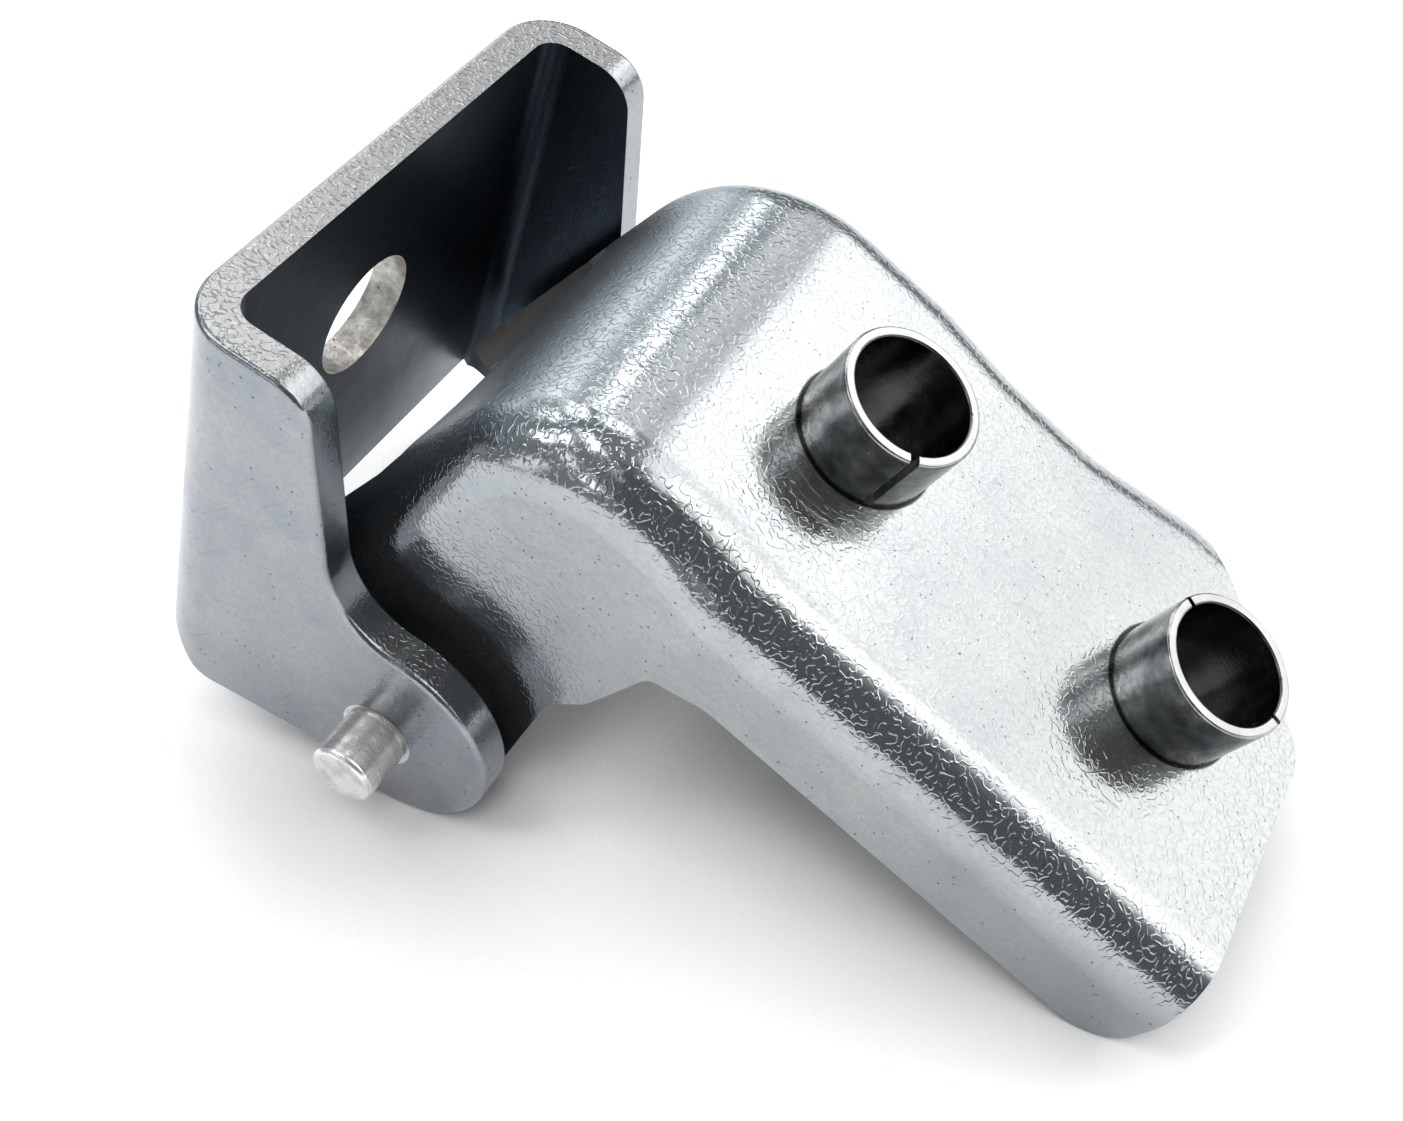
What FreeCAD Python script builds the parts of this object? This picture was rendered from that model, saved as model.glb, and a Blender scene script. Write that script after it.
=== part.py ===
import FreeCAD, Part
import math
import os

import Sketcher

# Car door hinge of zinc plated pressed steel. A thick U bracket bolts to the body through its web,
# a deep drawn leaf bolts to the door through two split dowel sleeves, and a plain pin joins them.
# The row frame has its origin on the hinge axis, in the middle of the pin's free end. Y runs along
# the pin to the far cheek, Z is up from the table that the hinge lies on, and X runs level from
# the pin towards the free end of the leaf. Lengths are in millimetres and angles in degrees.

DRIVING_SIZES = [
    # How the hinge lies: the bracket leans forward about the pin, and the leaf slopes down from it.
    ("lean_deg", 21.6),
    ("leaf_deg", 14.8),
    # Bracket, measured from the pin axis in the bracket's own upright position.
    ("plate", 3.8),
    ("bracket_width", 58.8),
    ("web_setback", 28.1),
    ("bracket_top", 41.7),
    ("cheek_depth", 14.9),
    ("far_cheek_trim", 1.3),
    ("cheek_flare_deg", 12.0),
    ("cheek_corner", 4.5),
    ("web_drop", 7.4),
    ("foot_drop", 12.4),
    ("foot_rise", 5.0),
    ("foot_step", 2.5),
    ("foot_corner", 3.5),
    ("foot_inner", 2.5),
    ("bend_inside", 2.6),
    ("ear_radius", 12.0),
    ("ear_forward", 0.5),
    ("ear_lift", 1.7),
    ("neck_radius", 9.0),
    ("edge_roll", 0.6),
    ("bolt_hole_radius", 7.0),
    ("bolt_hole_height", 21.7),
    ("bolt_hole_side", -2.2),
    # Pin.
    ("pin_radius", 4.0),
    ("pin_end_radius", 3.5),
    ("pin_reach", 6.1),
    ("pin_rounding", 0.6),
    ("groove_width", 0.4),
    ("groove_depth", 0.4),
    ("head_radius", 6.0),
    ("head_height", 2.2),
    # Leaf, measured along and square to its top face from the pin axis.
    ("skin", 3.0),
    ("near_gap", 2.7),
    ("far_gap", 1.7),
    ("top_height", 48.3),
    ("crest_radius", 18.0),
    ("shoulder_radius", 6.5),
    ("back_high", 11.2),
    ("back_slope_deg", 11.0),
    ("skirt_drop", 14.0),
    ("jog_start", 8.0),
    ("jog_length", 7.0),
    ("jog_out", 1.3),
    ("near_taper", 1.0),
    ("waist_start", 14.0),
    ("waist_end", 23.5),
    ("waist_in", 1.3),
    ("flare_start", 34.0),
    ("flare_end", 46.5),
    ("flare_out", 1.4),
    ("bend_ease", 18.0),
    ("arm_bottom", 34.2),
    ("arch_top", 28.5),
    ("arch_side", 4.4),
    ("arch_corner", 9.0),
    ("lug_radius", 10.5),
    ("lug_heel_back", 24.0),
    ("lug_heel_drop", 5.0),
    ("lug_toe_drop", 12.3),
    ("lug_nose", 11.4),
    ("lug_nose_up", 1.0),
    ("lug_waist", 10.0),
    ("lug_waist_up", 16.0),
    ("lug_throat", 12.4),
    ("lug_throat_up", 21.2),
    ("lug_front", 14.2),
    ("lug_front_up", 32.0),
    ("bay_reach", 19.5),
    ("throat_radius", 2.2),
    ("bay_radius", 6.0),
    ("leaf_reach", 68.2),
    ("end_skew", 1.8),
    ("end_corner_side", 7.7),
    ("slant_reach", 50.3),
    ("slant_side", 20.9),
    ("far_corner_reach", 45.8),
    ("far_corner_side", 25.3),
    ("end_corner", 5.0),
    ("wall_corner", 5.0),
    # Bushes, which turn on the pin inside the leaf's lugs.
    ("bush_wall", 1.4),
    ("running_gap", 0.04),
    ("flange_radius", 8.0),
    ("end_play", 0.1),
    # Dowel sleeves.
    ("sleeve_radius", 7.0),
    ("sleeve_wall", 1.1),
    ("sleeve_stand", 7.9),
    ("sleeve_foot", 4.5),
    ("sleeve_edge", 0.3),
    ("crest_sleeve_along", 14.5),
    ("crest_sleeve_side", 0.2),
    ("end_sleeve_inset", 16.3),
    ("end_sleeve_side", 2.2),
    ("slot_width", 0.9),
    ("slot_deg", -59.5),
    ("slit_width", 0.5),
    ("slit_deg", 157.0),
    ("notch_deg", -11.0),
    ("notch_depth", 2.5),
]

doc = FreeCAD.newDocument("door_hinge")
sheet = doc.addObject("Spreadsheet::Sheet", "Sizes")
for row, (alias, value) in enumerate(DRIVING_SIZES, start=1):
    sheet.set("A%d" % row, alias)
    sheet.set("B%d" % row, str(value))
    sheet.setAlias("B%d" % row, alias)
doc.recompute()


def size(alias):
    """The number held by one cell of the sheet."""
    return float(sheet.get(alias))


def new_body(label):
    body = doc.addObject("PartDesign::Body", label)
    body.Label = label
    return body


def origin_feature(body, role):
    for feature in body.Origin.OriginFeatures:
        if feature.Role == role:
            return feature
    raise RuntimeError("no " + role)


def new_sketch(body, name, role, offset=None):
    """A sketch on one of the body's own planes, moved along the plane's normal by a formula."""
    sketch = body.newObject("Sketcher::SketchObject", name)
    sketch.AttachmentSupport = [(origin_feature(body, role), "")]
    sketch.MapMode = "FlatFace"
    if offset:
        sketch.setExpression("AttachmentOffset.Base.z", offset)
    return sketch


def place_point(sketch, geometry, point, across, up):
    """Hold one point of a curve at two formulas, measured from the sketch's origin."""
    for kind, formula in (("DistanceX", across), ("DistanceY", up)):
        index = sketch.addConstraint(Sketcher.Constraint(kind, -1, 1, geometry, point, 1.0))
        sketch.setExpression("Constraints[%d]" % index, formula)


def draw_polygon(sketch, corners):
    """A closed outline through corners that are given as pairs of formulas."""
    first = sketch.GeometryCount
    count = len(corners)
    spots = []
    for index in range(count):
        turn = 2 * math.pi * index / count
        spots.append(FreeCAD.Vector(math.cos(turn), math.sin(turn), 0))
    for index in range(count):
        side = Part.LineSegment(spots[index], spots[(index + 1) % count])
        sketch.addGeometry(side, False)
    for index in range(count):
        following = first + (index + 1) % count
        sketch.addConstraint(Sketcher.Constraint("Coincident", first + index, 2, following, 1))
    for index, (across, up) in enumerate(corners):
        place_point(sketch, first + index, 1, across, up)


def draw_circle(sketch, across, up, radius):
    circle = Part.Circle(FreeCAD.Vector(0, 0, 0), FreeCAD.Vector(0, 0, 1), 1)
    geometry = sketch.addGeometry(circle, False)
    index = sketch.addConstraint(Sketcher.Constraint("Radius", geometry, 1.0))
    sketch.setExpression("Constraints[%d]" % index, radius)
    place_point(sketch, geometry, 3, across, up)


def pad_both_ways(body, name, sketch, width):
    """Material on both sides of the sketch, which lies in the middle of the width."""
    pad = body.newObject("PartDesign::Pad", name)
    pad.Profile = sketch
    pad.SideType = "Symmetric"
    pad.setExpression("Length", width)
    doc.recompute()
    return pad


def pad_one_way(body, name, sketch, length, reverse=False):
    pad = body.newObject("PartDesign::Pad", name)
    pad.Profile = sketch
    pad.Reversed = reverse
    pad.setExpression("Length", length)
    doc.recompute()
    return pad


def cut_through(body, name, sketch):
    """Cut the sketch's area out of the whole body, both ways from the sketch."""
    before = body.Shape.Volume
    pocket = body.newObject("PartDesign::Pocket", name)
    pocket.Profile = sketch
    pocket.SideType = "Symmetric"
    pocket.Type = "ThroughAll"
    doc.recompute()
    if body.Shape.Volume >= before:
        raise RuntimeError(name + " cuts nothing")
    return pocket


def edges_where(shape, fits):
    """Names of the edges whose two ends and middle all pass the test."""
    names = []
    for index, edge in enumerate(shape.Edges, start=1):
        points = [vertex.Point for vertex in edge.Vertexes]
        points.append(edge.valueAt((edge.FirstParameter + edge.LastParameter) / 2))
        if all(fits(point) for point in points):
            names.append("Edge%d" % index)
    return names


def faces_where(shape, fits):
    names = []
    for index, face in enumerate(shape.Faces, start=1):
        if fits(face):
            names.append("Face%d" % index)
    return names


def round_edges(body, name, radius, fits):
    """Round every edge of the body that passes the test."""
    base = body.Tip
    names = edges_where(base.Shape, fits)
    if not names:
        raise RuntimeError(name + " finds no edge")
    fillet = body.newObject("PartDesign::Fillet", name)
    fillet.Base = (base, names)
    fillet.setExpression("Radius", radius)
    doc.recompute()
    return fillet


def near(value, target, slack=0.01):
    return abs(value - target) < slack


def lie_at(body, turn):
    """Turn a body about the pin and set the frame's origin in the middle of the pin's free end."""
    body.Placement = FreeCAD.Placement(FreeCAD.Vector(0, 0, 0), FreeCAD.Rotation(FreeCAD.Vector(0, 1, 0), 1))
    body.setExpression("Placement.Rotation.Angle", turn)
    body.setExpression("Placement.Base.y", "(Sizes.bracket_width + Sizes.pin_reach + Sizes.groove_width - Sizes.pin_rounding) / 2")
    doc.recompute()


def make_bracket():
    """Thick plate bent to a U: a web with the bolt hole, and two cheeks with ears for the pin."""
    body = new_body("bracket")
    side = new_sketch(body, "BracketSide", "XZ_Plane")
    cheek_front = "-Sizes.web_setback + Sizes.cheek_depth"
    front_foot = cheek_front + " + Sizes.bracket_top * tan(Sizes.cheek_flare_deg)"
    draw_polygon(side, [
        ("-Sizes.web_setback", "Sizes.bracket_top"),
        (cheek_front, "Sizes.bracket_top"),
        (front_foot, "0"),
        ("0", "-Sizes.foot_drop + Sizes.foot_rise"),
        ("-Sizes.web_setback", "-Sizes.foot_drop"),
    ])
    pad_both_ways(body, "BracketBlock", side, "Sizes.bracket_width")
    # The far cheek's front edge is set back a little from the near one.
    set_back = new_sketch(body, "FarCheekTrim", "XZ_Plane")
    beyond = "Sizes.web_setback"
    draw_polygon(set_back, [
        (cheek_front + " - Sizes.far_cheek_trim", "Sizes.bracket_top"),
        (front_foot + " - Sizes.far_cheek_trim", "0"),
        (front_foot + " - Sizes.far_cheek_trim", "-Sizes.bracket_top"),
        (beyond, "-Sizes.bracket_top"),
        (beyond, "Sizes.bracket_top"),
    ])
    trimmed = body.newObject("PartDesign::Pocket", "FarCheekTrimCut")
    trimmed.Profile = set_back
    trimmed.SideType = "One side"
    trimmed.Type = "ThroughAll"
    trimmed.Reversed = False
    doc.recompute()
    ear = new_sketch(body, "BracketEar", "XZ_Plane")
    draw_circle(ear, "Sizes.ear_forward", "Sizes.ear_lift", "Sizes.ear_radius")
    pad_both_ways(body, "BracketEars", ear, "Sizes.bracket_width")

    back = -size("web_setback")
    half = size("bracket_width") / 2
    inside = half - size("plate")
    round_edges(body, "OuterBends", "Sizes.bend_inside + Sizes.plate",
                lambda point: near(point.x, back) and near(abs(point.y), half))
    channel = new_sketch(body, "Channel", "XY_Plane")
    open_end = "Sizes.ear_forward + Sizes.ear_radius * 2"
    draw_polygon(channel, [
        ("-Sizes.web_setback + Sizes.plate", "-Sizes.bracket_width / 2 + Sizes.plate"),
        (open_end, "-Sizes.bracket_width / 2 + Sizes.plate"),
        (open_end, "Sizes.bracket_width / 2 - Sizes.plate"),
        ("-Sizes.web_setback + Sizes.plate", "Sizes.bracket_width / 2 - Sizes.plate"),
    ])
    cut_through(body, "ChannelCut", channel)
    round_edges(body, "InnerBends", "Sizes.bend_inside",
                lambda point: near(point.x, back + size("plate")) and near(abs(point.y), inside))

    # The web stops above the cheeks' feet: the blank is cut away under the web and its two bends.
    foot = new_sketch(body, "FootCut", "XZ_Plane")
    step = "-Sizes.web_setback + Sizes.foot_step"
    draw_polygon(foot, [
        ("-Sizes.web_setback - Sizes.plate", "-Sizes.web_drop"),
        (step, "-Sizes.web_drop"),
        (step + " + Sizes.plate * 2", "-Sizes.web_drop - Sizes.plate * 2"),
        ("-Sizes.web_setback - Sizes.plate", "-Sizes.web_drop - Sizes.plate * 2"),
    ])
    cut_through(body, "FootStepCut", foot)
    relief = new_sketch(body, "WebRelief", "YZ_Plane")
    relief_half = "(Sizes.bracket_width / 2 - Sizes.plate - Sizes.bend_inside / 2)"
    draw_polygon(relief, [
        ("-" + relief_half, "-Sizes.web_drop"),
        (relief_half, "-Sizes.web_drop"),
        (relief_half, "-Sizes.foot_drop * 2"),
        ("-" + relief_half, "-Sizes.foot_drop * 2"),
    ])
    cut_through(body, "WebReliefCut", relief)

    top = size("bracket_top")
    round_edges(body, "CheekCorners", "Sizes.cheek_corner",
                lambda point: near(point.z, top) and abs(point.x - back - size("cheek_depth")) < 2)
    ear_centre = FreeCAD.Vector(size("ear_forward"), 0, size("ear_lift"))

    def on_ear(point):
        return near(math.hypot(point.x - ear_centre.x, point.z - ear_centre.z), size("ear_radius"))

    round_edges(body, "Necks", "Sizes.neck_radius",
                lambda point: on_ear(point) and point.x < 0)
    foot_x = back + size("foot_step")
    round_edges(body, "FootInner", "Sizes.foot_inner",
                lambda point: near(point.x, foot_x) and near(point.z, -size("web_drop")))

    def on_foot_slant(point):
        return near(point.x - foot_x, -size("web_drop") - point.z) and point.z < -size("web_drop") - 3

    foot_corners = round_edges(body, "FootCorners", "Sizes.foot_corner", on_foot_slant)

    # The blanking rolls the plate's outer edge a little, all the way round.
    roll = body.newObject("PartDesign::Fillet", "OuterRoll")
    outline = edges_where(foot_corners.Shape, lambda point: near(abs(point.y), half) and point.x > back + 8)
    roll.Base = (foot_corners, outline)
    roll.setExpression("Radius", "Sizes.edge_roll")
    doc.recompute()
    hole = new_sketch(body, "BoltHole", "YZ_Plane")
    draw_circle(hole, "Sizes.bolt_hole_side", "Sizes.bolt_hole_height", "Sizes.bolt_hole_radius")
    cut_through(body, "BoltHoleCut", hole)
    seat = new_sketch(body, "PinSeat", "XZ_Plane")
    draw_circle(seat, "0", "0", "Sizes.pin_radius")
    cut_through(body, "PinSeatCut", seat)
    lie_at(body, "Sizes.lean_deg")
    return body


def make_pin():
    """Turned pin: rounded free end past the near cheek, low head against the far cheek."""
    body = new_body("hinge_pin")
    section = new_sketch(body, "PinSection", "XY_Plane")
    near_face = "-Sizes.bracket_width / 2"
    near_end = near_face + " - Sizes.pin_reach"
    far_face = "Sizes.bracket_width / 2"
    draw_polygon(section, [
        ("0", near_end),
        ("Sizes.pin_end_radius", near_end),
        ("Sizes.pin_end_radius", near_face + " - Sizes.groove_width"),
        ("Sizes.pin_end_radius - Sizes.groove_depth", near_face + " - Sizes.groove_width"),
        ("Sizes.pin_end_radius - Sizes.groove_depth", near_face),
        ("Sizes.pin_radius", near_face),
        ("Sizes.pin_radius", far_face),
        ("Sizes.head_radius", far_face),
        ("Sizes.head_radius", far_face + " + Sizes.head_height"),
        ("0", far_face + " + Sizes.head_height"),
    ])
    turned = body.newObject("PartDesign::Revolution", "PinTurned")
    turned.Profile = section
    turned.ReferenceAxis = (section, ["V_Axis"])
    turned.Angle = 360
    doc.recompute()
    half = size("bracket_width") / 2
    ends = (-half - size("pin_reach"), half + size("head_height"))
    round_edges(body, "PinEnds", "Sizes.pin_rounding",
                lambda point: near(point.y, ends[0]) or near(point.y, ends[1]))
    lie_at(body, "Sizes.lean_deg")
    return body


NEAR_LUG = "(Sizes.bracket_width / 2 - Sizes.plate - Sizes.near_gap)"
FAR_LUG = "(Sizes.bracket_width / 2 - Sizes.plate - Sizes.far_gap)"
END_SLEEVE = "(Sizes.leaf_reach - Sizes.end_sleeve_inset)"


def make_leaf():
    """One deep drawn shell: arm, shoulders, rolled crest and two lugs that hang down to the pin."""
    body = new_body("leaf")
    plan = new_sketch(body, "LeafPlan", "XY_Plane", "-Sizes.skirt_drop")
    spare = "Sizes.leaf_reach + Sizes.plate"
    behind = "-Sizes.web_setback * 2"
    near_arm = "-" + NEAR_LUG + " - Sizes.jog_out"
    draw_polygon(plan, [
        (behind, "-" + NEAR_LUG),
        ("Sizes.jog_start", "-" + NEAR_LUG),
        ("Sizes.jog_start + Sizes.jog_length", near_arm),
        (spare, near_arm + " + Sizes.near_taper"),
        (spare, FAR_LUG + " + Sizes.flare_out"),
        ("Sizes.flare_end", FAR_LUG + " + Sizes.flare_out"),
        ("Sizes.flare_start", FAR_LUG + " - Sizes.waist_in"),
        ("Sizes.waist_end", FAR_LUG + " - Sizes.waist_in"),
        ("Sizes.waist_start", FAR_LUG),
        (behind, FAR_LUG),
    ])
    pad_one_way(body, "LeafBlock", plan, "Sizes.top_height + Sizes.skirt_drop")

    for name, along in (
        ("JogIn", size("jog_start")),
        ("JogOut", size("jog_start") + size("jog_length")),
        ("WaistIn", size("waist_start")),
        ("WaistOut", size("waist_end")),
        ("FlareIn", size("flare_start")),
        ("FlareOut", size("flare_end")),
    ):
        round_edges(body, name, "Sizes.bend_ease", lambda point: near(point.x, along))

    back = new_sketch(body, "SlopedBack", "XZ_Plane")
    draw_polygon(back, [
        ("-Sizes.back_high", "Sizes.top_height"),
        ("-Sizes.back_high", "Sizes.top_height + Sizes.skin"),
        (behind + " - Sizes.skin", "Sizes.top_height + Sizes.skin"),
        (behind + " - Sizes.skin", "-Sizes.top_height"),
        ("-Sizes.back_high - 2 * Sizes.top_height * tan(Sizes.back_slope_deg)", "-Sizes.top_height"),
    ])
    cut_through(body, "SlopedBackCut", back)

    top = size("top_height")
    round_edges(body, "Crest", "Sizes.crest_radius",
                lambda point: near(point.z, top) and near(point.x, -size("back_high")))

    # One straight edge on each side is enough: the fillet runs on round the crest and down the back.
    near_run = size("jog_start") + size("jog_length")
    far_run = size("flare_end")
    round_edges(body, "NearShoulder", "Sizes.shoulder_radius",
                lambda point: near(point.z, top) and point.y < 0 and point.x > near_run)
    round_edges(body, "FarShoulder", "Sizes.shoulder_radius",
                lambda point: near(point.z, top) and point.y > 20 and point.x > far_run)

    end = size("leaf_reach") + size("plate")
    floor = -size("skirt_drop")

    def is_open(face):
        box = face.BoundBox
        below = near(box.ZMin, floor) and near(box.ZMax, floor)
        return below or (near(box.XMin, end) and near(box.XMax, end))

    solid = body.Tip
    shell = body.newObject("PartDesign::Thickness", "Drawn")
    shell.Base = (solid, faces_where(solid.Shape, is_open))
    shell.setExpression("Value", "Sizes.skin")
    shell.Reversed = True
    shell.Mode = "Skin"
    shell.Join = "Arc"
    doc.recompute()

    # Everything below the arm and round the two lugs is trimmed away in one stroke.
    trim = new_sketch(body, "SideTrim", "XZ_Plane")
    draw_polygon(trim, [
        (spare + " + Sizes.skin", "Sizes.arm_bottom"),
        ("Sizes.bay_reach", "Sizes.arm_bottom"),
        ("Sizes.lug_front", "Sizes.lug_front_up"),
        ("Sizes.lug_throat", "Sizes.lug_throat_up"),
        ("Sizes.lug_waist", "Sizes.lug_waist_up"),
        ("Sizes.lug_nose", "Sizes.lug_nose_up"),
        ("Sizes.lug_nose", "-Sizes.lug_toe_drop"),
        ("-Sizes.lug_heel_back", "-Sizes.lug_heel_drop"),
        (behind, "-Sizes.lug_heel_drop"),
        (behind, "-Sizes.skirt_drop - Sizes.skin"),
        (spare + " + Sizes.skin", "-Sizes.skirt_drop - Sizes.skin"),
    ])
    cut_through(body, "SideTrimCut", trim)
    for name, radius, along, up in (
        ("Toes", "Sizes.lug_radius", "lug_nose", -size("lug_toe_drop")),
        ("Waists", "Sizes.bay_radius", "lug_waist", size("lug_waist_up")),
        ("ThroatBends", "Sizes.bay_radius", "lug_throat", size("lug_throat_up")),
        ("Throats", "Sizes.throat_radius", "lug_front", size("lug_front_up")),
        ("Bays", "Sizes.bay_radius", "bay_reach", size("arm_bottom")),
    ):
        along = size(along)
        round_edges(body, name, radius, lambda point: near(point.x, along) and near(point.z, up))

    # The back is open between the lugs, up to just below the crest.
    arch = new_sketch(body, "Arch", "YZ_Plane")
    near_side = "-" + NEAR_LUG + " + Sizes.arch_side"
    far_side = FAR_LUG + " - Sizes.arch_side"
    outline = [(near_side, "-Sizes.top_height")]
    for turn in (0, 25, 50, 70, 90):
        outline.append((
            near_side + " + Sizes.arch_corner * (1 - cos(%d))" % turn,
            "Sizes.arch_top - Sizes.arch_corner * (1 - sin(%d))" % turn,
        ))
    for turn in (90, 70, 50, 25, 0):
        outline.append((
            far_side + " - Sizes.arch_corner * (1 - cos(%d))" % turn,
            "Sizes.arch_top - Sizes.arch_corner * (1 - sin(%d))" % turn,
        ))
    outline.append((far_side, "-Sizes.top_height"))
    draw_polygon(arch, outline)
    cut_through(body, "ArchCut", arch)

    # The free end: square over the near half and slanted over the far half.
    end_trim = new_sketch(body, "EndTrim", "XY_Plane")
    past = "Sizes.leaf_reach * 2"
    draw_polygon(end_trim, [
        ("Sizes.leaf_reach", "-Sizes.bracket_width"),
        ("Sizes.leaf_reach - Sizes.end_skew", "Sizes.end_corner_side"),
        ("Sizes.slant_reach", "Sizes.slant_side"),
        ("Sizes.far_corner_reach", "Sizes.far_corner_side"),
        ("Sizes.far_corner_reach", "Sizes.bracket_width"),
        (past, "Sizes.bracket_width"),
        (past, "-Sizes.bracket_width"),
    ])
    cut_through(body, "EndTrimCut", end_trim)
    corner_x = size("leaf_reach") - size("end_skew")
    round_edges(body, "EndCorner", "Sizes.end_corner",
                lambda point: near(point.x, corner_x) and near(point.y, size("end_corner_side")))
    wall_foot = size("arm_bottom")
    round_edges(body, "WallCorner", "Sizes.wall_corner",
                lambda point: near(point.z, wall_foot) and abs(point.x - size("leaf_reach")) < size("end_skew"))

    bores = new_sketch(body, "BushBores", "XZ_Plane")
    draw_circle(bores, "0", "0", "Sizes.pin_radius + Sizes.running_gap + Sizes.bush_wall")
    cut_through(body, "BushBoreCut", bores)
    seats = new_sketch(body, "SleeveSeats", "XY_Plane")
    draw_circle(seats, "Sizes.crest_sleeve_along", "Sizes.crest_sleeve_side", "Sizes.sleeve_radius")
    draw_circle(seats, END_SLEEVE, "Sizes.end_sleeve_side", "Sizes.sleeve_radius")
    cut_through(body, "SleeveSeatCut", seats)
    lie_at(body, "Sizes.lean_deg + Sizes.leaf_deg")
    return body


def make_bush(label, sign, lug, gap):
    """Flanged bush pressed in one lug: the flange fills the gap to the cheek."""
    body = new_body(label)
    section = new_sketch(body, label + "_section", "XY_Plane")
    inner = sign + "(" + lug + " - Sizes.skin)"
    seat = sign + lug
    flange = sign + "(" + lug + " + " + gap + " - Sizes.end_play)"
    bore = "Sizes.pin_radius + Sizes.running_gap"
    draw_polygon(section, [
        (bore, inner),
        (bore + " + Sizes.bush_wall", inner),
        (bore + " + Sizes.bush_wall", seat),
        ("Sizes.flange_radius", seat),
        ("Sizes.flange_radius", flange),
        (bore, flange),
    ])
    turned = body.newObject("PartDesign::Revolution", label + "_turned")
    turned.Profile = section
    turned.ReferenceAxis = (section, ["V_Axis"])
    turned.Angle = 360
    doc.recompute()
    lie_at(body, "Sizes.lean_deg + Sizes.leaf_deg")
    return body


def draw_slit(sketch, along, side, width, angle):
    """A narrow box across the sleeve's wall, turned about the sleeve's axis."""
    middle = "Sizes.sleeve_radius - Sizes.sleeve_wall / 2"
    corners = []
    for inward, across in ((-1, -1), (1, -1), (1, 1), (-1, 1)):
        reach = "(%s + %d * Sizes.sleeve_wall)" % (middle, inward)
        half = "(%d * %s / 2)" % (across, width)
        corners.append((
            "%s + %s * cos(%s) - %s * sin(%s)" % (along, reach, angle, half, angle),
            "%s + %s * sin(%s) + %s * cos(%s)" % (side, reach, angle, half, angle),
        ))
    draw_polygon(sketch, corners)


def make_sleeve(label, along, side, gap_width, gap_angle):
    """Rolled split sleeve, pressed in the top face and open along one straight gap."""
    body = new_body(label)
    ring = new_sketch(body, label + "_ring", "XY_Plane", "Sizes.top_height - Sizes.skin - Sizes.sleeve_foot")
    draw_circle(ring, along, side, "Sizes.sleeve_radius")
    draw_circle(ring, along, side, "Sizes.sleeve_radius - Sizes.sleeve_wall")
    pad_one_way(body, label + "_tube", ring, "Sizes.sleeve_foot + Sizes.skin + Sizes.sleeve_stand")
    rim = size("top_height") + size("sleeve_stand")
    round_edges(body, label + "_rim", "Sizes.sleeve_edge", lambda point: near(point.z, rim))
    gap = new_sketch(body, label + "_gap", "XY_Plane")
    draw_slit(gap, along, side, gap_width, gap_angle)
    cut_through(body, label + "_split", gap)
    return body


def make_sleeves():
    crest = make_sleeve("sleeve_crest", "Sizes.crest_sleeve_along", "Sizes.crest_sleeve_side",
                        "Sizes.slot_width", "Sizes.slot_deg")
    far = make_sleeve("sleeve_end", END_SLEEVE, "Sizes.end_sleeve_side",
                      "Sizes.slit_width", "Sizes.slit_deg")
    notch = new_sketch(far, "sleeve_end_notch", "XY_Plane",
                       "Sizes.top_height + Sizes.sleeve_stand - Sizes.notch_depth")
    draw_slit(notch, END_SLEEVE, "Sizes.end_sleeve_side", "Sizes.slit_width", "Sizes.notch_deg")
    before = far.Shape.Volume
    cut = far.newObject("PartDesign::Pocket", "sleeve_end_notch_cut")
    cut.Profile = notch
    cut.Type = "ThroughAll"
    cut.Reversed = True
    doc.recompute()
    removed = before - far.Shape.Volume
    if removed <= 0 or removed > 2 * size("notch_depth"):
        raise RuntimeError("the notch is cut the wrong way")
    for sleeve in (crest, far):
        lie_at(sleeve, "Sizes.lean_deg + Sizes.leaf_deg")
    return [crest, far]


parts = [
    make_bracket(),
    make_pin(),
    make_leaf(),
    make_bush("bush_near", "-", NEAR_LUG, "Sizes.near_gap"),
    make_bush("bush_far", "", FAR_LUG, "Sizes.far_gap"),
] + make_sleeves()
doc.recompute()

for item in doc.Objects:
    if "Invalid" in item.State or "Error" in item.State:
        raise RuntimeError("failed: " + item.Name)
for part in parts:
    if part.Shape.isNull() or not part.Shape.isValid():
        raise RuntimeError("bad shape: " + part.Label)

os.makedirs("parts", exist_ok=True)
for part in parts:
    part.Shape.exportStep("parts/" + part.Label + ".step")
    box = part.Shape.BoundBox
    print(part.Label, len(part.Shape.Solids), round(part.Shape.Volume),
          [round(value, 1) for value in (box.XMin, box.YMin, box.ZMin, box.XMax, box.YMax, box.ZMax)])
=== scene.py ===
"""Looks of the car door hinge: materials, floor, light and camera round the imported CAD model."""

import math

import bpy
from mathutils import Matrix, Vector


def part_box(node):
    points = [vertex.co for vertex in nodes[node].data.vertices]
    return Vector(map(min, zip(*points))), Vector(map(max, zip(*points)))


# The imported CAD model, with every node at its own place.
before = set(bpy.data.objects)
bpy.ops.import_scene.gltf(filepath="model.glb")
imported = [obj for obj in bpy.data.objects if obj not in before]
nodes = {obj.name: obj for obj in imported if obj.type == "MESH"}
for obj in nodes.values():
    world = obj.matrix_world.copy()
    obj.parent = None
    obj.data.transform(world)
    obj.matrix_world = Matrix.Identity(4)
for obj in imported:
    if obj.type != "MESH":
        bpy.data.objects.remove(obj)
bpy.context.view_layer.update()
scene = bpy.context.scene
scene.view_settings.view_transform = "Standard"

FLOOR_Z = min(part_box(name)[0].z for name in nodes)

# Places and turns that the materials follow, in millimetres and degrees.
PIN_MIDDLE_Y = 32.35
BRACKET_LEAN = 21.6
LEAF_SLOPE = 36.4
INSIDE_CHEEKS = 25.6
SLEEVE_OUTSIDE = 7.0
SLEEVE_BORE = 5.9
CREST_SLEEVE = (14.5, 0.2)
END_SLEEVE = (51.9, 2.2)

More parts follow.
